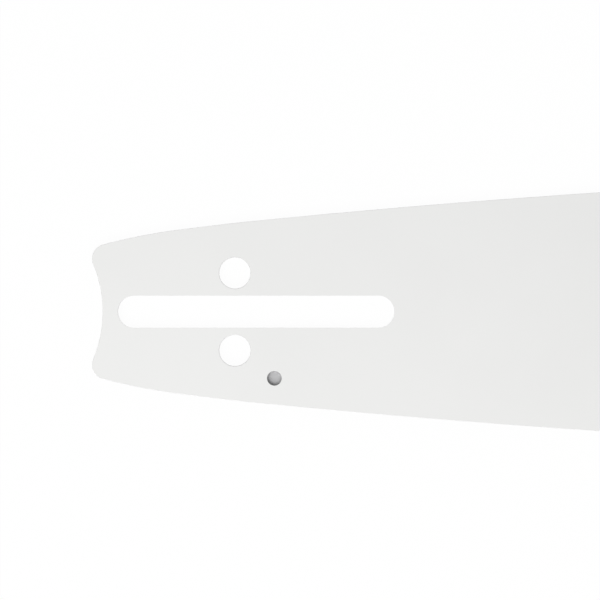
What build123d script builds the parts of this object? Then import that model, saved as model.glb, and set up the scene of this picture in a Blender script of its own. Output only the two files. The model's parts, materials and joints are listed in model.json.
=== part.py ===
from build123d import *
import os
from math import acos, asin, degrees, floor, pi, sin, sqrt

# Chainsaw guide bar: two side plates welded to a narrower core, which leaves a groove for the
# chain along both rails, and a toothed wheel on a roller bearing riveted into the nose.
# The bar lies on its side. Y runs along it from tail to nose, X across it and Z through its
# thickness. The origin is the middle of the stud slot, on the underside. Millimetres and degrees.

# Plates
plate_thickness = 1.4  # each side plate
groove_width = 1.35  # thickness of the core, and so the width of the chain groove
groove_depth = 6.2  # from the rails down to the edge of the core
edge_break = 0.1  # bevel round the outer face of a side plate
core_corner_radius = 1.0

# Outline of the side plates, with setbacks measured from the tips of the tail horns
overall_length = 577.0
belly_width = 72.7
belly_setback = 307.0
taper_setback = 36.0  # where the straight sides of the tail meet the rails
taper_angle = 7.0  # of these sides to the middle line
shoulder_radius = 300.0  # from the rails into the taper
tail_radius = 150.0  # from the taper into the horns
tail_drop = 1.37  # how far the horns lie inside the taper
horn_radius = 3.77
scallop_radius = 31.2  # hollow between the horns, round the drive sprocket
scallop_depth = 2.72

# Saw mount
slot_width = 8.2
slot_length = 70.7
slot_setback = 6.6
adjuster_diameter = 8.0
adjuster_spacing = 19.8
adjuster_setback = 36.5
oil_diameter = 3.75
oil_setback = 46.6
oil_inset = 0.47  # from the edge of the core in to the middle of an oil hole
oil_way_clearance = 0.5  # from the rim of an oil hole to the walls of its way out to the groove

# Chain
chain_pitch = 8.255
strap_depth = 3.2  # from the chain's rivets to the underside of its straps
tang_depth = 5.3  # from the underside of the straps to the tip of a drive tang
chain_lift = 0.4  # the nose wheel carries the straps this far clear of the plates

# Nose wheel
tooth_count = 11
tip_drop = 1.8  # from the circle of the chain's rivets to the tooth tips
tip_width = 2.4
tip_round = 0.5
gullet_radius = 4.2
tang_clearance = 0.7
pocket_clearance = 0.8  # from the tooth tips to the core
side_play = 0.1  # from the wheel, and from the rollers, to each side plate

# Nose bearing
race_diameter = 20.0
roller_diameter = 3.5
bearing_play = 0.03  # from the rollers to the race, and to the bore of the wheel
roller_gap = 0.05  # least space between neighbouring rollers

# Nose rivets
rivet_count = 5
rivet_circle = 12.6
rivet_diameter = 3.6
rivet_head_diameter = 4.1
rivet_clearance = 0.02


def toward(start, goal, distance):
    """The point at a distance from start, on the way to goal."""
    return start + (goal - start).normalized() * distance


def arc_about(centre, start, end):
    """The short arc round a centre, from start to end."""
    middle = toward(centre, (start + end) / 2, (start - centre).length)
    return ThreePointArc(start, middle, end)


# Stations along the bar
tail_y = -(slot_setback + slot_length / 2)
belly_y = tail_y + belly_setback
adjuster_y = tail_y + adjuster_setback
oil_y = tail_y + oil_setback
core_z = plate_thickness
total_thickness = 2 * plate_thickness + groove_width

# The nose carries the chain's rivets on a circle of two pitches to each tooth
chain_circle_radius = chain_pitch / (2 * sin(pi / (2 * tooth_count)))
nose_radius = chain_circle_radius - strap_depth - chain_lift
nose_y = tail_y + overall_length - nose_radius
nose_centre = Vector(0, nose_y)

# The front rail touches the nose circle and runs square to the belly
belly = Vector(belly_width / 2, belly_y)
front_run = nose_y - belly_y
front_radius = (belly.X**2 + front_run**2 - nose_radius**2) / (2 * (belly.X - nose_radius))
front_centre = Vector(belly.X - front_radius, belly_y)

# The horns touch the scallop and the plane of the tail
horn_y = tail_y + horn_radius
scallop_floor = Vector(0, tail_y + scallop_depth)
scallop_centre = Vector(0, scallop_floor.Y - scallop_radius)
horn_x = sqrt((scallop_radius + horn_radius) ** 2 - (horn_y - scallop_centre.Y) ** 2)
horn_centre = Vector(horn_x, horn_y)

# The taper passes outside the horns by the tail drop
taper_ahead = Vector(0, 1).rotate(Axis.Z, -taper_angle)
taper_outward = Vector(1, 0).rotate(Axis.Z, -taper_angle)
taper_foot = horn_centre + taper_outward * (horn_radius + tail_drop)
taper_corner = taper_foot + taper_ahead * ((tail_y + taper_setback - taper_foot.Y) / taper_ahead.Y)

# The rear rail runs from the taper's corner, and square to the belly too
rear_fall = belly.X - taper_corner.X
rear_run = belly_y - taper_corner.Y
rear_radius = (rear_fall**2 + rear_run**2) / (2 * rear_fall)
rear_centre = Vector(belly.X - rear_radius, belly_y)


def centre_beside_taper(radius, other_centre, reach):
    """The centre of an arc that touches the taper from inside, at a reach from another centre."""
    base = taper_foot - taper_outward * radius
    along = (other_centre - base).dot(taper_ahead)
    across = (other_centre - base).dot(taper_outward)
    return base + taper_ahead * (along + sqrt(reach**2 - across**2))


# The shoulder touches the rear rail from inside, and the tail curve the horns
shoulder_centre = centre_beside_taper(shoulder_radius, rear_centre, rear_radius - shoulder_radius)
tail_centre = centre_beside_taper(tail_radius, horn_centre, tail_radius - horn_radius)

# Points where the lines and arcs of the outline meet
scallop_end = toward(scallop_centre, horn_centre, scallop_radius)
horn_end = toward(tail_centre, horn_centre, tail_radius)
taper_start = tail_centre + taper_outward * tail_radius
taper_end = shoulder_centre + taper_outward * shoulder_radius
shoulder_end = toward(rear_centre, shoulder_centre, rear_radius)
rail_end = toward(front_centre, nose_centre, front_radius)
nose_tip = Vector(0, nose_y + nose_radius)

# The same points on the edge of the core, which follows the rails a groove depth further in
core_tail_radius = tail_radius - groove_depth
core_rear_radius = rear_radius - groove_depth
core_back_x = tail_centre.X + sqrt(core_tail_radius**2 - (tail_centre.Y - tail_y) ** 2)
core_back = Vector(core_back_x, tail_y)
core_taper_start = taper_start - taper_outward * groove_depth
core_taper_end = taper_end - taper_outward * groove_depth
core_shoulder_end = toward(rear_centre, shoulder_centre, core_rear_radius)
core_belly = Vector(belly.X - groove_depth, belly_y)
core_rail_end = toward(front_centre, nose_centre, front_radius - groove_depth)
oil_x = rear_centre.X + sqrt(core_rear_radius**2 - (belly_y - oil_y) ** 2) - oil_inset
oil_way_width = oil_diameter + 2 * oil_way_clearance

# Nose wheel, bearing and rivets
tip_radius = chain_circle_radius - tip_drop
root_radius = nose_radius + chain_lift - tang_depth - tang_clearance
running_z = core_z + side_play
running_width = groove_width - 2 * side_play
roller_circle_radius = race_diameter / 2 + bearing_play + roller_diameter / 2
bore_radius = roller_circle_radius + roller_diameter / 2 + bearing_play
roller_count = floor(pi / asin((roller_diameter + roller_gap) / (2 * roller_circle_radius)))
rivet_radius = rivet_diameter / 2
head_radius = rivet_head_diameter / 2
head_depth = head_radius - rivet_radius
rivet_hole_radius = rivet_radius + rivet_clearance


def cut_saw_holes():
    """Stud slot and adjuster holes, cut through the sketch in hand."""
    SlotOverall(slot_length, slot_width, rotation=90, mode=Mode.SUBTRACT)
    with Locations((-adjuster_spacing / 2, adjuster_y), (adjuster_spacing / 2, adjuster_y)):
        Circle(adjuster_diameter / 2, mode=Mode.SUBTRACT)


def rivet_places():
    """Places of the rivets, one of them towards the tip, round the middle of the nose."""
    return PolarLocations(rivet_circle / 2, rivet_count, start_angle=90)


def save(builder, name):
    """Label a finished piece and write its file."""
    builder.part.label = name
    export_step(builder.part, f"parts/{name}.step")


os.makedirs("parts", exist_ok=True)

# Side plate, with its outer face up; the bar takes one each way up
with BuildPart() as side_plate:
    with BuildSketch():
        with BuildLine():
            arc_about(scallop_centre, scallop_floor, scallop_end)
            arc_about(horn_centre, scallop_end, horn_end)
            arc_about(tail_centre, horn_end, taper_start)
            Line(taper_start, taper_end)
            arc_about(shoulder_centre, taper_end, shoulder_end)
            arc_about(rear_centre, shoulder_end, belly)
            arc_about(front_centre, belly, rail_end)
            arc_about(nose_centre, rail_end, nose_tip)
            mirror(about=Plane.YZ)
        make_face()
        cut_saw_holes()
        with Locations((oil_x, oil_y)):
            Circle(oil_diameter / 2, mode=Mode.SUBTRACT)
    extrude(amount=plate_thickness)
    outer_face = side_plate.faces().sort_by(Axis.Z)[-1]
    chamfer(outer_face.outer_wire().edges(), length=edge_break)
    with Locations((0, nose_y, plate_thickness)):
        with rivet_places():
            CounterSinkHole(rivet_hole_radius, head_radius + rivet_clearance, counter_sink_angle=90)

with BuildPart() as upper_side_plate:
    with Locations((0, 0, core_z + groove_width)):
        add(side_plate.part)
save(upper_side_plate, "upper_side_plate")

with BuildPart() as lower_side_plate:
    with Locations(Location((0, 0, plate_thickness), (0, 180, 0))):
        add(side_plate.part)
save(lower_side_plate, "lower_side_plate")

# Core, flush with the side plates round the scallop and hollowed round the nose wheel, with a way
# out to the groove for the oil of either plate
with BuildPart() as core_plate:
    with BuildSketch(Plane.XY.offset(core_z)) as core_outline:
        with BuildLine():
            Line((0, tail_y), core_back)
            arc_about(tail_centre, core_back, core_taper_start)
            Line(core_taper_start, core_taper_end)
            arc_about(shoulder_centre, core_taper_end, core_shoulder_end)
            arc_about(rear_centre, core_shoulder_end, core_belly)
            arc_about(front_centre, core_belly, core_rail_end)
            Line(core_rail_end, (0, core_rail_end.Y))
            mirror(about=Plane.YZ)
        make_face()
        with Locations(scallop_centre):
            Circle(scallop_radius, mode=Mode.SUBTRACT)
        with Locations(nose_centre):
            Circle(tip_radius + pocket_clearance, mode=Mode.SUBTRACT)
        corners = core_outline.vertices().group_by(Axis.Y)
        fillet(corners[0] + corners[-1], radius=core_corner_radius)
        cut_saw_holes()
        for side in (-1, 1):
            oil_hole = Vector(side * oil_x, oil_y)
            way_middle = oil_hole + Vector(side * groove_depth / 2, 0)
            SlotCenterPoint(way_middle, oil_hole, oil_way_width, mode=Mode.SUBTRACT)
    extrude(amount=groove_width)
save(core_plate, "core_plate")

# Nose wheel: each gullet is a round floor with a flank running out from it to either tooth tip
tip_angle = degrees(asin(tip_width / (2 * tip_radius)))
gullet_floor = Vector(0, root_radius + gullet_radius)
mouth = Vector(0, tip_radius).rotate(Axis.Z, tip_angle - 180 / tooth_count)
to_mouth = mouth - gullet_floor
flank_turn = degrees(acos(gullet_radius / to_mouth.length))
flank_foot = gullet_floor + to_mouth.normalized().rotate(Axis.Z, -flank_turn) * gullet_radius
flank_head = toward(flank_foot, mouth, 2 * to_mouth.length)

with BuildSketch() as gullet:
    with BuildLine():
        arc_about(gullet_floor, Vector(0, root_radius), flank_foot)
        Line(flank_foot, flank_head)
        Line(flank_head, (0, flank_head.Y))
        mirror(about=Plane.YZ)
    make_face()

with BuildPart() as nose_sprocket:
    with BuildSketch(Plane((0, nose_y, running_z))) as star:
        Circle(tip_radius)
        with PolarLocations(0, tooth_count):
            add(gullet.sketch, mode=Mode.SUBTRACT)
        tips = star.vertices().group_by(lambda corner: round(corner.center().length, 3))[-1]
        fillet(tips, radius=tip_round)
        Circle(bore_radius, mode=Mode.SUBTRACT)
    extrude(amount=running_width)
save(nose_sprocket, "nose_sprocket")

# Inner race, clamped between the side plates by the rivets
with BuildPart() as bearing_race:
    with BuildSketch(Plane((0, nose_y, core_z))):
        Circle(race_diameter / 2)
        with rivet_places():
            Circle(rivet_hole_radius, mode=Mode.SUBTRACT)
    extrude(amount=groove_width)
save(bearing_race, "bearing_race")

# Rollers, side by side all the way round the race
bearing_plane = Plane((0, nose_y, running_z))
for number, spot in enumerate(PolarLocations(roller_circle_radius, roller_count), start=1):
    with BuildPart() as bearing_roller:
        with BuildSketch(bearing_plane * spot):
            Circle(roller_diameter / 2)
        extrude(amount=running_width)
    save(bearing_roller, f"bearing_roller_{number:02d}")

# Rivets, with heads sunk flush with both side plates
with BuildPart() as rivet:
    with BuildSketch(Plane.XZ):
        with BuildLine():
            Polyline(
                (0, 0),
                (head_radius, 0),
                (rivet_radius, head_depth),
                (rivet_radius, total_thickness - head_depth),
                (head_radius, total_thickness),
                (0, total_thickness),
                close=True,
            )
        make_face()
    revolve(axis=Axis.Z)

with BuildPart(Plane((0, nose_y, 0))) as nose_rivets:
    with rivet_places():
        add(rivet.part)
save(nose_rivets, "nose_rivets")
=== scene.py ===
import json
from math import acos, ceil, cos, pi, radians, sin, sqrt

import bpy
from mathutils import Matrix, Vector


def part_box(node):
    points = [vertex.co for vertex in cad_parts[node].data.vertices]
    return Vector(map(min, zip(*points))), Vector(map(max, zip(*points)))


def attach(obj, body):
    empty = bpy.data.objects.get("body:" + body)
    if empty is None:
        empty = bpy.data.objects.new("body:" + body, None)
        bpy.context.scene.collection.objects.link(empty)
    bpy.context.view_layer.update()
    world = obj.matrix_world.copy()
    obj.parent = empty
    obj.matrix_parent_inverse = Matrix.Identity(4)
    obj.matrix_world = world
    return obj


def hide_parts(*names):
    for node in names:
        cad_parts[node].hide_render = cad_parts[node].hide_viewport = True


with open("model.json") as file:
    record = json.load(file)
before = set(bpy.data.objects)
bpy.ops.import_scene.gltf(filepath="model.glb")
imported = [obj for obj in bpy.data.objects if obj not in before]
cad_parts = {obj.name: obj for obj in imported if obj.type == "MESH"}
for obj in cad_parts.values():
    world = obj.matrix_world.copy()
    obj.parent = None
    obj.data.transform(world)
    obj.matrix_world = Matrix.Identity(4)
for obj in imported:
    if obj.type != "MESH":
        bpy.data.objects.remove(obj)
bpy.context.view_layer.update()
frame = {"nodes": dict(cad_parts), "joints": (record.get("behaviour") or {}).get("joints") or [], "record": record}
nodes = frame["nodes"]
joints = {joint["name"]: joint for joint in frame["joints"]}
mounts = {mount["name"]: mount for mount in frame["record"]["mounts"]}

# Chainsaw guide bar, lying flat. Metres throughout, in the bar's own frame: Y runs from tail to
# nose, X across the bar and Z up through its thickness. The origin is the middle of the stud slot.
MM = 0.001
UP = Vector((0.0, 0.0, 1.0))

# Places that the frame gives
BAR_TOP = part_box("upper_side_plate")[1].z
CORE_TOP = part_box("core_plate")[1].z
PLATE_THICKNESS = BAR_TOP - CORE_TOP
NOSE_CENTRE = Vector(joints["nose_wheel_spin"]["pos_m"][:2])
NOSE_TIP = Vector((0.0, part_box("upper_side_plate")[1].y))
NOSE_RADIUS = NOSE_TIP.y - NOSE_CENTRE.y
SLOT_RADIUS = mounts["stud_slot"]["dims"]["hole_r_mm"] * MM
SLOT_LENGTH = mounts["stud_slot"]["dims"]["slot_length_mm"] * MM
ADJUSTER_RADIUS = mounts["adjuster_hole_left"]["dims"]["r_mm"] * MM
ADJUSTER_LEFT = Vector(mounts["adjuster_hole_left"]["pos_m"][:2])
ADJUSTER_RIGHT = Vector(mounts["adjuster_hole_right"]["pos_m"][:2])

# Outline of the side plates, with setbacks measured from the tips of the tail horns
OVERALL_LENGTH = 577.0 * MM
BELLY_WIDTH = 72.7 * MM
BELLY_SETBACK = 307.0 * MM
TAPER_SETBACK = 36.0 * MM
TAPER_ANGLE = radians(7.0)
SHOULDER_RADIUS = 300.0 * MM
TAIL_RADIUS = 150.0 * MM
TAIL_DROP = 1.37 * MM
HORN_RADIUS = 3.77 * MM
SCALLOP_RADIUS = 31.2 * MM
SCALLOP_DEPTH = 2.72 * MM
OUTLINE_TOLERANCE = 0.002 * MM
# Ends of the two half outlines that lie this close to the middle line are joined there
MIDDLE_GAP = 0.01 * MM

# Edge of the outer face, rounded in two steps that each take a share of it inwards and upwards
EDGE_BREAK = 0.1 * MM
EDGE_STEPS = ((0.3, 0.7), (0.7, 0.3))

# Other holes of the side plates
ADJUSTER_LIP = 0.1 * MM
ADJUSTER_MOUTH = ADJUSTER_RADIUS + ADJUSTER_LIP
OIL_RADIUS = 1.875 * MM
OIL_PLACE = Vector((17.01 * MM, 4.65 * MM))
# Walls of holes are lacquered as far as this past the ends of the slot
LACQUER_MARGIN = 1.0 * MM

# Nose
RIVET_COUNT = 5
RIVET_CIRCLE_RADIUS = 6.3 * MM
RIVET_RADIUS = 1.8 * MM
RIVET_HEAD_RADIUS = 2.05 * MM
RIVET_CLEARANCE = 0.02 * MM
RIVET_RIM = 0.06 * MM
FIRST_RIVET = NOSE_CENTRE + Vector((0.0, RIVET_CIRCLE_RADIUS))
ROLLER_RIM = 0.2 * MM
TOOTH_RIM = 0.12 * MM
# Corners of the wheel's triangles that lie this close are merged
WHEEL_POINT_GAP = 0.001 * MM
# Triangles of the wheel that meet at a smaller angle become one face
WHEEL_FLAT_ANGLE = radians(0.5)

# Sides of each round hole, rivet and roller
ROUND_SIDES = 96
# Edges flatter than this are shaded as one round surface
ROUND_ANGLE = radians(20.0)
# Edges sharper than this get a rim
RIM_ANGLE = radians(60.0)
RIM_SEGMENTS = 2
# A face looks up or down if its normal rises or falls by more than this
FLAT_FACE_RISE = 0.9
# A face is a wall if its normal rises or falls by less than this
WALL_FACE_RISE = 0.3

# Lacquer, from the dark to the pale of its clouds
LACQUER_DARK = (0.80, 0.80, 0.793)
LACQUER_PALE = (0.825, 0.825, 0.818)
LACQUER_ROUGHNESS = (0.40, 0.47)
CLOUDS_PER_METRE = (25.0, 25.0, 25.0)
CLOUD_DETAIL = 3.0
PEEL_PER_METRE = (1400.0, 1400.0, 1400.0)
PEEL_DETAIL = 2.0
PEEL_RELIEF = 0.12

# What all the steels share
STEEL_LINE_DETAIL = 5.0
STEEL_BLUE_SHARE = 1.02

# What lacquer and steels share: how rough their noise is, the part of it that shows, and their relief
GRAIN_ROUGHNESS = 0.6
GRAIN_LOW = 0.25
GRAIN_HIGH = 0.75
RELIEF_DEPTH = 0.02 * MM

# Camera, straight above the tail with the nose to the right
PHOTO_PIXELS = 600
PIXEL_SIZE = 0.2555 * MM
PHOTO_CENTRE = (-3.0 * MM, 11.2 * MM)
CAMERA_HEIGHT = 3.0
SENSOR_WIDTH = 36.0

# Studio
WHITE = (1.0, 1.0, 1.0, 1.0)
FLOOR_SIZE = 6.0
FLOOR_DROP = 0.05 * MM
FLOOR_COLOUR = (0.95, 0.95, 0.95, 1.0)
FLOOR_WHITE_SHARE = 0.97
KEY_PLACE = Vector((0.4, -0.2, 1.04))
KEY_TARGET = Vector((0.0, 0.05, 0.0))
KEY_SIZE = 0.55
KEY_POWER = 7.45
KEY_COLOUR = (1.0, 0.998, 0.985)
SKY_COLOUR = (0.985, 0.99, 1.0, 1.0)
SKY_LOW = 0.25
SKY_HIGH = 0.6


def select_only(piece):
    """Makes one object the only one selected, and the active one."""
    bpy.ops.object.select_all(action="DESELECT")
    piece.select_set(True)
    bpy.context.view_layer.objects.active = piece


def start_edit(piece):
    """Opens a piece's mesh with all of it selected."""
    select_only(piece)
    bpy.ops.object.mode_set(mode="EDIT")
    bpy.ops.mesh.select_all(action="SELECT")


def end_edit():
    bpy.ops.object.mode_set(mode="OBJECT")


def start_edit_where(piece, kind, wanted):
    """Opens a piece's mesh with only those faces or points selected for which wanted is true."""
    start_edit(piece)
    bpy.ops.mesh.select_mode(type=kind)
    bpy.ops.mesh.select_all(action="DESELECT")
    end_edit()
    for element in {"FACE": piece.data.polygons, "VERT": piece.data.vertices}[kind]:
        element.select = wanted(element)
    bpy.ops.object.mode_set(mode="EDIT")


def facing_up(face):
    return face.normal.z > FLAT_FACE_RISE


def facing_down(face):
    return face.normal.z < -FLAT_FACE_RISE


def extrude(shift):
    """Extrudes what is selected by a shift."""
    bpy.ops.mesh.extrude_region_move(TRANSFORM_OT_translate={"value": shift})


def move_mesh(piece, shift):
    """Moves a piece within its mesh, so that its object stays at the origin."""
    start_edit(piece)
    bpy.ops.transform.translate(value=shift)
    end_edit()


def copy_piece(piece):
    """A copy of a piece, with a mesh of its own."""
    select_only(piece)
    bpy.ops.object.duplicate()
    return bpy.context.object


def apply_modifier(piece, kind, **settings):
    """Adds a modifier to a piece and applies it."""
    modifier = piece.modifiers.new(kind.lower(), kind)
    for name, value in settings.items():
        setattr(modifier, name, value)
    select_only(piece)
    bpy.ops.object.modifier_apply(modifier=modifier.name)


def add_rim(piece, width):
    """Rounds the sharp edges of a piece."""
    apply_modifier(
        piece,
        "BEVEL",
        width=width,
        segments=RIM_SEGMENTS,
        limit_method="ANGLE",
        angle_limit=RIM_ANGLE,
    )


def name_piece(piece, name):
    piece.name = name
    piece.data.name = name


def finish_piece(piece, name, *materials):
    """Names a piece, shades its round walls smooth and gives it its finishes."""
    select_only(piece)
    bpy.ops.object.shade_smooth_by_angle(angle=ROUND_ANGLE)
    name_piece(piece, name)
    piece.data.materials.clear()
    for material in materials:
        piece.data.materials.append(material)


def round_bar(place, radius, bottom, top):
    """Upright round bar, turned by half a side so that none of its corners lies on its middle lines."""
    bpy.ops.object.select_all(action="DESELECT")
    bpy.ops.mesh.primitive_cylinder_add(
        vertices=ROUND_SIDES,
        radius=radius,
        depth=top - bottom,
        location=(*place, (bottom + top) / 2),
        rotation=(0.0, 0.0, pi / ROUND_SIDES),
    )
    bpy.ops.object.transform_apply(location=True, rotation=True, scale=True)
    return bpy.context.object


def flare_end(bar, place, wanted, rise, widen):
    """Extrudes the wanted end of a round bar and widens it about the bar's own axis."""
    start_edit_where(bar, "FACE", wanted)
    extrude(rise * UP)
    bpy.ops.transform.resize(value=(widen, widen, 1.0), center_override=place.to_3d())
    end_edit()


def copy_round_nose(piece):
    """Copies what is at the first rivet to the places of the others."""
    start_edit(piece)
    bpy.ops.mesh.spin(
        dupli=True,
        steps=RIVET_COUNT - 1,
        angle=2 * pi * (RIVET_COUNT - 1) / RIVET_COUNT,
        center=NOSE_CENTRE.to_3d(),
        axis=UP,
    )
    end_edit()


def centre_beside(line_foot, line_ahead, line_outward, radius, other_centre, reach):
    """Centre of an arc that touches a line from inside, at a reach from another centre."""
    base = line_foot - line_outward * radius
    along = (other_centre - base).dot(line_ahead)
    across = (other_centre - base).dot(line_outward)
    return base + line_ahead * (along + sqrt(reach**2 - across**2))


def half_outline():
    """Start of the half outline, on the middle line at the tail, and its runs on to the nose tip.

    Each run is a centre and the point where it ends, and the straight one has no centre.
    """
    tail_y = NOSE_TIP.y - OVERALL_LENGTH
    belly = Vector((BELLY_WIDTH / 2, tail_y + BELLY_SETBACK))

    # Front arc, from the belly to the round nose that it touches
    front_run = NOSE_CENTRE.y - belly.y
    front_radius = (belly.x**2 + front_run**2 - NOSE_RADIUS**2) / (2 * (belly.x - NOSE_RADIUS))
    front_centre = Vector((belly.x - front_radius, belly.y))
    front_end = front_centre + (NOSE_CENTRE - front_centre).normalized() * front_radius

    # Scallop across the tail, and the round horn beside it
    scallop_floor = Vector((0.0, tail_y + SCALLOP_DEPTH))
    scallop_centre = Vector((0.0, scallop_floor.y - SCALLOP_RADIUS))
    horn_y = tail_y + HORN_RADIUS
    horn_x = sqrt((SCALLOP_RADIUS + HORN_RADIUS) ** 2 - (horn_y - scallop_centre.y) ** 2)
    horn_centre = Vector((horn_x, horn_y))
    scallop_end = scallop_centre + (horn_centre - scallop_centre).normalized() * SCALLOP_RADIUS

    # Straight taper, from beside the horn to the corner that the shoulder rounds off
    ahead = Vector((sin(TAPER_ANGLE), cos(TAPER_ANGLE)))
    outward = Vector((cos(TAPER_ANGLE), -sin(TAPER_ANGLE)))
    foot = horn_centre + outward * (HORN_RADIUS + TAIL_DROP)
    corner = foot + ahead * ((tail_y + TAPER_SETBACK - foot.y) / ahead.y)

    # Rear arc, from that corner to the belly
    rear_fall = belly.x - corner.x
    rear_radius = (rear_fall**2 + (belly.y - corner.y) ** 2) / (2 * rear_fall)
    rear_centre = Vector((belly.x - rear_radius, belly.y))

    # Shoulder between taper and rear arc, and tail arc between horn and taper
    shoulder_reach = rear_radius - SHOULDER_RADIUS
    shoulder_centre = centre_beside(foot, ahead, outward, SHOULDER_RADIUS, rear_centre, shoulder_reach)
    shoulder_end = rear_centre + (shoulder_centre - rear_centre).normalized() * rear_radius
    tail_reach = TAIL_RADIUS - HORN_RADIUS
    tail_centre = centre_beside(foot, ahead, outward, TAIL_RADIUS, horn_centre, tail_reach)
    horn_end = tail_centre + (horn_centre - tail_centre).normalized() * TAIL_RADIUS

    runs = (
        (scallop_centre, scallop_end),
        (horn_centre, horn_end),
        (tail_centre, tail_centre + outward * TAIL_RADIUS),
        (None, shoulder_centre + outward * SHOULDER_RADIUS),
        (shoulder_centre, shoulder_end),
        (rear_centre, belly),
        (front_centre, front_end),
        (NOSE_CENTRE, NOSE_TIP),
    )
    return scallop_floor, runs


def half_outline_wire():
    """Wire along the half outline: one point, spun along the arcs and extruded along the taper."""
    start, runs = half_outline()
    bpy.ops.object.select_all(action="DESELECT")
    bpy.ops.mesh.primitive_plane_add(size=MM)
    wire = bpy.context.object
    start_edit(wire)
    bpy.ops.mesh.select_mode(type="VERT")
    bpy.ops.mesh.merge(type="CENTER")
    bpy.ops.transform.translate(value=start.to_3d())
    for centre, end in runs:
        if centre is None:
            extrude((end - start).to_3d())
        else:
            turn = (start - centre).angle_signed(end - centre)
            step = 2 * acos(1 - OUTLINE_TOLERANCE / (end - centre).length)
            bpy.ops.mesh.spin(
                steps=ceil(abs(turn) / step),
                angle=turn,
                center=centre.to_3d(),
                axis=UP,
            )
        start = end
    end_edit()
    return wire


def plate_blank():
    """Side plate before its holes, with its inner face down and the edge of its outer face broken."""
    blank = half_outline_wire()
    apply_modifier(blank, "MIRROR", merge_threshold=MIDDLE_GAP)
    start_edit(blank)
    bpy.ops.mesh.edge_face_add()
    extrude((PLATE_THICKNESS - EDGE_BREAK) * UP)
    for inward, upward in EDGE_STEPS:
        bpy.ops.mesh.inset(thickness=inward * EDGE_BREAK)
        bpy.ops.transform.translate(value=upward * EDGE_BREAK * UP)
    bpy.ops.mesh.select_all(action="SELECT")
    bpy.ops.mesh.normals_make_consistent(inside=False)
    end_edit()
    return blank


def drill(place, radius):
    """Cutter for a plain hole."""
    return round_bar(place, radius, -PLATE_THICKNESS, 2 * PLATE_THICKNESS)


def slot_cutter():
    """Cutter for the stud slot: a drill at the origin, whose halves are moved apart along the bar."""
    cutter = drill((0.0, 0.0), SLOT_RADIUS)
    for side in (-1.0, 1.0):
        start_edit_where(cutter, "VERT", lambda point: side * point.co.y > 0.0)
        bpy.ops.transform.translate(value=(0.0, side * (SLOT_LENGTH / 2 - SLOT_RADIUS), 0.0))
        end_edit()
    return cutter


def countersink(place, radius, mouth):
    """Cutter for a hole that widens to a mouth at the plate's outer face, and as far again above it."""
    depth = mouth - radius
    cutter = round_bar(place, radius, -PLATE_THICKNESS, PLATE_THICKNESS - depth)
    flare_end(cutter, place, facing_up, 2 * depth, (mouth + depth) / radius)
    return cutter


def adjuster_cutter():
    """Cutter for the two adjuster holes."""
    cutter = countersink(ADJUSTER_LEFT, ADJUSTER_RADIUS, ADJUSTER_MOUTH)
    shift = (ADJUSTER_RIGHT - ADJUSTER_LEFT).to_3d()
    start_edit(cutter)
    bpy.ops.mesh.duplicate_move(TRANSFORM_OT_translate={"value": shift})
    end_edit()
    return cutter


def rivet_cutter():
    """Cutter for the countersunk holes of the rivets."""
    hole_radius = RIVET_RADIUS + RIVET_CLEARANCE
    mouth_radius = RIVET_HEAD_RADIUS + RIVET_CLEARANCE
    cutter = countersink(FIRST_RIVET, hole_radius, mouth_radius)
    copy_round_nose(cutter)
    return cutter


def add_node(tree, kind, **settings):
    """A new node in a tree, with its settings."""
    node = tree.nodes.new(kind)
    for name, value in settings.items():
        setattr(node, name, value)
    return node


def grain_group():
    """Noise stretched along the axes, from clouds in the lacquer to grinding lines in the steel."""
    group = bpy.data.node_groups.new("grain", "ShaderNodeTree")
    group.interface.new_socket("Stretch", in_out="INPUT", socket_type="NodeSocketVector")
    group.interface.new_socket("Detail", in_out="INPUT", socket_type="NodeSocketFloat")
    group.interface.new_socket("Grain", in_out="OUTPUT", socket_type="NodeSocketFloat")
    given = add_node(group, "NodeGroupInput")
    result = add_node(group, "NodeGroupOutput")
    place = add_node(group, "ShaderNodeTexCoord")
    scale = add_node(group, "ShaderNodeVectorMath", operation="MULTIPLY")
    noise = add_node(group, "ShaderNodeTexNoise")
    noise.inputs["Scale"].default_value = 1.0
    noise.inputs["Roughness"].default_value = GRAIN_ROUGHNESS
    spread = add_node(group, "ShaderNodeMapRange")
    spread.inputs["From Min"].default_value = GRAIN_LOW
    spread.inputs["From Max"].default_value = GRAIN_HIGH
    group.links.new(place.outputs["Object"], scale.inputs[0])
    group.links.new(given.outputs["Stretch"], scale.inputs[1])
    group.links.new(scale.outputs["Vector"], noise.inputs["Vector"])
    group.links.new(given.outputs["Detail"], noise.inputs["Detail"])
    group.links.new(noise.outputs["Fac"], spread.inputs["Value"])
    group.links.new(spread.outputs["Result"], result.inputs["Grain"])
    return group


GRAIN = grain_group()


def new_material(name):
    """A material, its node tree and its Principled shader."""
    material = bpy.data.materials.new(name)
    material.use_nodes = True
    return material, material.node_tree, material.node_tree.nodes["Principled BSDF"]


def place_grain(tree, stretch, detail):
    """The grain group in a material, with its own values."""
    node = add_node(tree, "ShaderNodeGroup", node_tree=GRAIN)
    node.inputs["Stretch"].default_value = stretch
    node.inputs["Detail"].default_value = detail
    return node.outputs["Grain"]


def colour_from(tree, shader, source, low, high):
    """Base colour from low to high along a grain."""
    node = add_node(tree, "ShaderNodeMix", data_type="RGBA")
    node.inputs["A"].default_value = (*low, 1.0)
    node.inputs["B"].default_value = (*high, 1.0)
    tree.links.new(source, node.inputs["Factor"])
    tree.links.new(node.outputs["Result"], shader.inputs["Base Color"])


def roughness_from(tree, shader, source, low, high):
    """Roughness from low to high along a grain."""
    node = add_node(tree, "ShaderNodeMapRange")
    node.inputs["To Min"].default_value = low
    node.inputs["To Max"].default_value = high
    tree.links.new(source, node.inputs["Value"])
    tree.links.new(node.outputs["Result"], shader.inputs["Roughness"])


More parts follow.
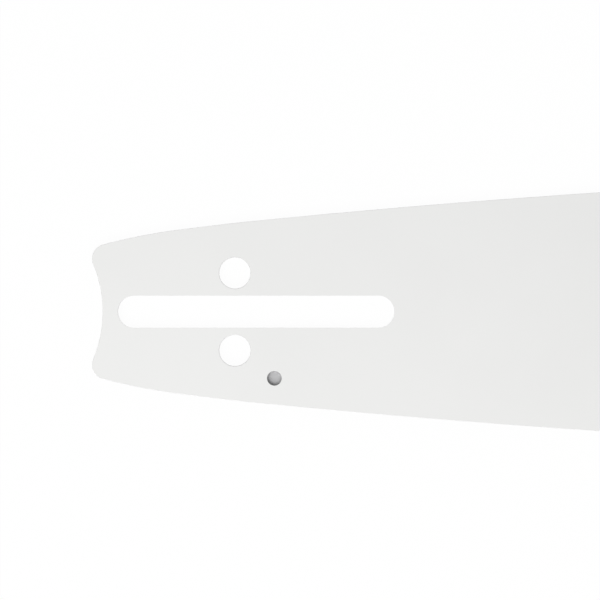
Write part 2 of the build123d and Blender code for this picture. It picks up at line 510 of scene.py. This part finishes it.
def relief_from(tree, shader, source, strength):
    """Fine bumps along a grain."""
    node = add_node(tree, "ShaderNodeBump")
    node.inputs["Strength"].default_value = strength
    node.inputs["Distance"].default_value = RELIEF_DEPTH
    tree.links.new(source, node.inputs["Height"])
    tree.links.new(node.outputs["Normal"], shader.inputs["Normal"])


def satin_lacquer():
    """Pale satin lacquer, faintly clouded, with a fine orange peel."""
    material, tree, shader = new_material("satin_lacquer")
    clouds = place_grain(tree, CLOUDS_PER_METRE, CLOUD_DETAIL)
    peel = place_grain(tree, PEEL_PER_METRE, PEEL_DETAIL)
    colour_from(tree, shader, clouds, LACQUER_DARK, LACQUER_PALE)
    roughness_from(tree, shader, clouds, *LACQUER_ROUGHNESS)
    relief_from(tree, shader, peel, PEEL_RELIEF)
    return material


def bare_steel(name, shades, lines_per_metre, roughness, relief):
    """Bare steel with its grain along one direction."""
    material, tree, shader = new_material(name)
    lines = place_grain(tree, lines_per_metre, STEEL_LINE_DETAIL)
    dark, pale = ((shade, shade, STEEL_BLUE_SHARE * shade) for shade in shades)
    colour_from(tree, shader, lines, dark, pale)
    roughness_from(tree, shader, lines, *roughness)
    relief_from(tree, shader, lines, relief)
    shader.inputs["Metallic"].default_value = 1.0
    return material


LACQUER = satin_lacquer()
RAIL_STEEL = bare_steel(
    "ground_rail_steel",
    shades=(0.5, 0.62),
    lines_per_metre=(500.0, 40.0, 4000.0),
    roughness=(0.25, 0.4),
    relief=0.15,
)
INNER_STEEL = bare_steel(
    "rolled_inner_steel",
    shades=(0.275, 0.315),
    lines_per_metre=(900.0, 150.0, 900.0),
    roughness=(0.4, 0.55),
    relief=0.1,
)
CORE_STEEL = bare_steel(
    "rolled_core_steel",
    shades=(0.4, 0.5),
    lines_per_metre=(900.0, 120.0, 900.0),
    roughness=(0.4, 0.55),
    relief=0.1,
)
WHEEL_STEEL = bare_steel(
    "hardened_wheel_steel",
    shades=(0.3, 0.4),
    lines_per_metre=(1800.0, 200.0, 900.0),
    roughness=(0.3, 0.45),
    relief=0.15,
)
BEARING_STEEL = bare_steel(
    "polished_bearing_steel",
    shades=(0.6, 0.67),
    lines_per_metre=(400.0, 400.0, 5000.0),
    roughness=(0.1, 0.2),
    relief=0.05,
)
RIVET_STEEL = bare_steel(
    "ground_rivet_steel",
    shades=(0.48, 0.58),
    lines_per_metre=(2500.0, 180.0, 900.0),
    roughness=(0.28, 0.4),
    relief=0.12,
)


def finish_plate(plate, name):
    """Lacquer, with bare steel on the rails, in the oil port and rivet holes and on the inner face."""
    finishes = (LACQUER, RAIL_STEEL, INNER_STEEL)
    finish_piece(plate, name, *finishes)
    holes_x = ADJUSTER_RIGHT.x + ADJUSTER_MOUTH
    holes_y = SLOT_LENGTH / 2 + LACQUER_MARGIN
    for face in plate.data.polygons:
        by_saw_holes = abs(face.center.x) < holes_x and abs(face.center.y) < holes_y
        if facing_down(face):
            face.material_index = finishes.index(INNER_STEEL)
        elif abs(face.normal.z) < WALL_FACE_RISE and not by_saw_holes:
            face.material_index = finishes.index(RAIL_STEEL)


def side_plates():
    """Lacquered side plates: one is made and turned over to lie below, and its copy lies on top."""
    lower = plate_blank()
    for cutter in (slot_cutter(), adjuster_cutter(), drill(OIL_PLACE, OIL_RADIUS), rivet_cutter()):
        apply_modifier(lower, "BOOLEAN", object=cutter, operation="DIFFERENCE", solver="EXACT")
        bpy.data.objects.remove(cutter)
    finish_plate(lower, "lower_plate")

    upper = copy_piece(lower)
    name_piece(upper, "upper_plate")
    move_mesh(upper, CORE_TOP * UP)
    start_edit(lower)
    bpy.ops.transform.rotate(value=pi, orient_axis="Y", center_override=PLATE_THICKNESS / 2 * UP)
    end_edit()

    for plate, node in ((upper, "upper_side_plate"), (lower, "lower_side_plate")):
        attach(plate, "blade")
        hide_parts(node)


def star_wheel():
    """Nose wheel with the edges of its teeth rounded."""
    wheel = bpy.data.objects.new("star_wheel", nodes["nose_sprocket"].data.copy())
    bpy.context.collection.objects.link(wheel)
    start_edit(wheel)
    bpy.ops.mesh.remove_doubles(threshold=WHEEL_POINT_GAP)
    bpy.ops.mesh.dissolve_limited(angle_limit=WHEEL_FLAT_ANGLE)
    end_edit()
    add_rim(wheel, TOOTH_RIM)
    finish_piece(wheel, "star_wheel", WHEEL_STEEL)
    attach(wheel, "nose_wheel")
    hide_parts("nose_sprocket")


def flush_rivets():
    """Rivets with countersunk heads, ground flush with both plates."""
    depth = RIVET_HEAD_RADIUS - RIVET_RADIUS
    rivets = round_bar(FIRST_RIVET, RIVET_RADIUS, depth, BAR_TOP - depth)
    for wanted, rise in ((facing_up, depth), (facing_down, -depth)):
        flare_end(rivets, FIRST_RIVET, wanted, rise, RIVET_HEAD_RADIUS / RIVET_RADIUS)
    add_rim(rivets, RIVET_RIM)
    copy_round_nose(rivets)
    finish_piece(rivets, "flush_rivets", RIVET_STEEL)
    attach(rivets, "blade")
    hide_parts("nose_rivets")


def bearing_rollers():
    """Rollers with rounded rims: one is made, and copied to each place that the frame gives."""
    places = {node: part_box(node) for node in sorted(nodes) if node.startswith("bearing_roller")}
    first_low, first_high = next(iter(places.values()))
    first_middle = (first_low + first_high) / 2
    radius = (first_high.x - first_low.x) / 2
    pattern = round_bar(first_middle.xy, radius, first_low.z, first_high.z)
    add_rim(pattern, ROLLER_RIM)
    for node, (low, high) in places.items():
        roller = copy_piece(pattern)
        move_mesh(roller, (low + high) / 2 - first_middle)
        finish_piece(roller, node.replace("bearing", "polished"), BEARING_STEEL)
        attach(roller, "roller_set")
        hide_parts(node)
    bpy.data.objects.remove(pattern)


def core_and_race():
    """Finishes of the two pieces that keep the frame's own shapes."""
    for node, material in (("core_plate", CORE_STEEL), ("bearing_race", BEARING_STEEL)):
        nodes[node].data.materials.clear()
        nodes[node].data.materials.append(material)


def background_rays(tree):
    """One for rays that see the background itself, nought for light that falls on the bar."""
    path = add_node(tree, "ShaderNodeLightPath")
    mirrored = add_node(tree, "ShaderNodeMath", operation="MAXIMUM")
    seen = add_node(tree, "ShaderNodeMath", operation="MAXIMUM")
    tree.links.new(path.outputs["Is Glossy Ray"], mirrored.inputs[0])
    tree.links.new(path.outputs["Is Transmission Ray"], mirrored.inputs[1])
    tree.links.new(path.outputs["Is Camera Ray"], seen.inputs[0])
    tree.links.new(mirrored.outputs[0], seen.inputs[1])
    return seen.outputs[0]


def studio_floor():
    """White floor that keeps a faint shadow of the bar."""
    bpy.ops.object.select_all(action="DESELECT")
    bpy.ops.mesh.primitive_plane_add(size=FLOOR_SIZE, location=-FLOOR_DROP * UP)
    floor = bpy.context.object
    floor.name = "studio_floor"
    material = bpy.data.materials.new("studio_floor_white")
    material.use_nodes = True
    tree = material.node_tree
    tree.nodes.clear()
    shadowed = add_node(tree, "ShaderNodeBsdfDiffuse")
    shadowed.inputs["Color"].default_value = FLOOR_COLOUR
    white = add_node(tree, "ShaderNodeEmission")
    share = add_node(tree, "ShaderNodeMath", operation="MULTIPLY")
    share.inputs[1].default_value = FLOOR_WHITE_SHARE
    mix = add_node(tree, "ShaderNodeMixShader")
    output = add_node(tree, "ShaderNodeOutputMaterial")
    tree.links.new(background_rays(tree), share.inputs[0])
    tree.links.new(share.outputs[0], mix.inputs[0])
    tree.links.new(shadowed.outputs[0], mix.inputs[1])
    tree.links.new(white.outputs[0], mix.inputs[2])
    tree.links.new(mix.outputs[0], output.inputs["Surface"])
    floor.data.materials.append(material)


def studio_world():
    """Soft light from all round, stronger from above, behind it a white background."""
    world = bpy.data.worlds.new("studio_world")
    bpy.context.scene.world = world
    world.use_nodes = True
    tree = world.node_tree
    sky = tree.nodes["Background"]
    sky.inputs["Color"].default_value = SKY_COLOUR
    white = add_node(tree, "ShaderNodeBackground")
    white.inputs["Color"].default_value = WHITE
    mix = add_node(tree, "ShaderNodeMixShader")
    direction = add_node(tree, "ShaderNodeTexCoord")
    height = add_node(tree, "ShaderNodeSeparateXYZ")
    level = add_node(tree, "ShaderNodeMapRange")
    level.inputs["To Min"].default_value = SKY_LOW
    level.inputs["To Max"].default_value = SKY_HIGH
    tree.links.new(direction.outputs["Generated"], height.inputs[0])
    tree.links.new(height.outputs["Z"], level.inputs["Value"])
    tree.links.new(level.outputs["Result"], sky.inputs["Strength"])
    tree.links.new(background_rays(tree), mix.inputs[0])
    tree.links.new(sky.outputs[0], mix.inputs[1])
    tree.links.new(white.outputs[0], mix.inputs[2])
    tree.links.new(mix.outputs[0], tree.nodes["World Output"].inputs["Surface"])


def key_lamp():
    """Soft lamp high above the bar, to the lower left of the picture."""
    lamp = bpy.data.lights.new("key_lamp", "AREA")
    lamp.energy = KEY_POWER
    lamp.size = KEY_SIZE
    lamp.color = KEY_COLOUR
    holder = bpy.data.objects.new("key_lamp", lamp)
    bpy.context.collection.objects.link(holder)
    holder.location = KEY_PLACE
    holder.rotation_euler = (KEY_TARGET - KEY_PLACE).to_track_quat("-Z", "Y").to_euler()


def photo_camera():
    """Camera looking straight down on the tail, from far enough to hide the walls of the holes."""
    lens = bpy.data.cameras.new("photo_camera")
    lens.sensor_width = SENSOR_WIDTH
    lens.lens = SENSOR_WIDTH * CAMERA_HEIGHT / (PHOTO_PIXELS * PIXEL_SIZE)
    camera = bpy.data.objects.new("photo_camera", lens)
    bpy.context.collection.objects.link(camera)
    camera.location = (*PHOTO_CENTRE, BAR_TOP + CAMERA_HEIGHT)
    camera.rotation_euler = (0.0, 0.0, pi / 2)
    bpy.context.scene.camera = camera


side_plates()
star_wheel()
flush_rivets()
bearing_rollers()
core_and_race()
studio_floor()
studio_world()
key_lamp()
photo_camera()
bpy.context.scene.view_settings.view_transform = "Standard"
